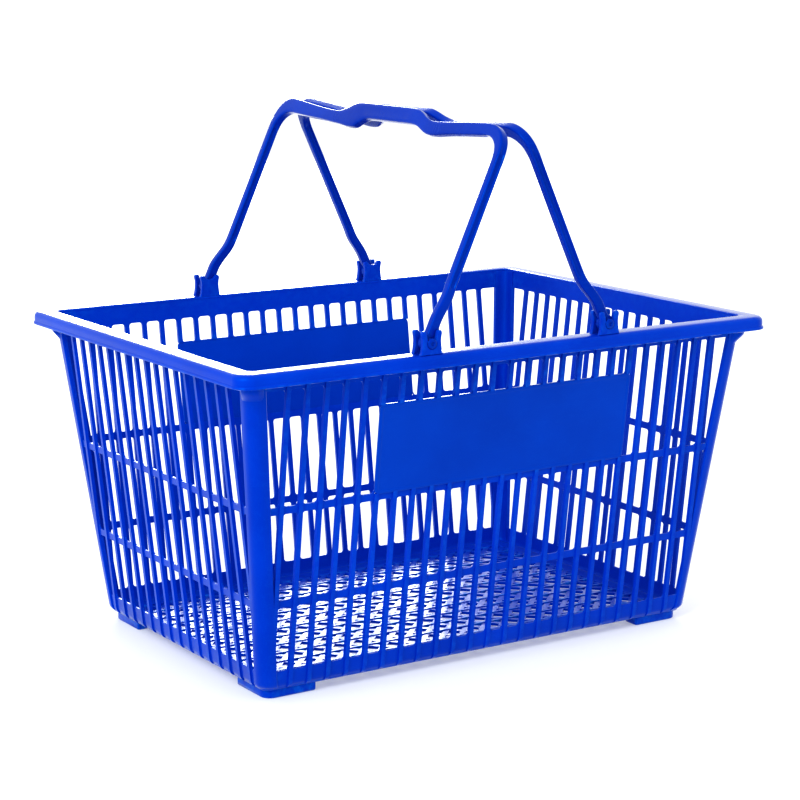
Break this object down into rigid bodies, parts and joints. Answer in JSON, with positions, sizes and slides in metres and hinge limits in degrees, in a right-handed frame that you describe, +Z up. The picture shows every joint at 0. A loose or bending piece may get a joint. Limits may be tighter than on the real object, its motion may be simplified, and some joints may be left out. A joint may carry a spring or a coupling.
{
  "type": "hand shopping basket",
  "caption": "Moulded lattice hand basket with a flat rim, blank label panels and folding bail handles that lean together over the middle.",
  "frame": {"origin": "middle of the basket's footprint, on the ground under the feet", "axes": "+X along the basket's long side, +Y from the front label panel to the back one, +Z up"},
  "size_m": [0.43, 0.318, 0.3773],
  "materials": {
    "basket_plastic": "satin moulded polypropylene with a light sheen",
    "label_plastic": "smooth moulded polypropylene, blank",
    "handle_plastic": "satin moulded polypropylene"
  },
  "bodies": {
    "basket": {"floor_grid": "basket_plastic", "front_wall": "basket_plastic", "back_wall": "basket_plastic", "left_wall": "basket_plastic", "right_wall": "basket_plastic", "front_left_post": "basket_plastic", "front_right_post": "basket_plastic", "back_left_post": "basket_plastic", "back_right_post": "basket_plastic", "front_rim": "basket_plastic", "back_rim": "basket_plastic", "left_rim": "basket_plastic", "right_rim": "basket_plastic", "front_label_panel": "label_plastic", "back_label_panel": "label_plastic", "front_left_foot": "basket_plastic", "front_right_foot": "basket_plastic", "back_left_foot": "basket_plastic", "back_right_foot": "basket_plastic", "front_left_lug": "basket_plastic", "front_right_lug": "basket_plastic", "back_left_lug": "basket_plastic", "back_right_lug": "basket_plastic"},
    "left_handle": {"left_handle": "handle_plastic"},
    "right_handle": {"right_handle": "handle_plastic"}
  },
  "joints": [
    {"name": "left_handle_hinge", "type": "hinge", "parent": "basket", "child": "left_handle", "pos_m": [-0.0725, 0, 0.235], "axis": [0, -1, 0], "range_deg": [0, 117.5]},
    {"name": "right_handle_hinge", "type": "hinge", "parent": "basket", "child": "right_handle", "pos_m": [0.0725, 0, 0.235], "axis": [0, 1, 0], "range_deg": [0, 117.5]}
  ]
}
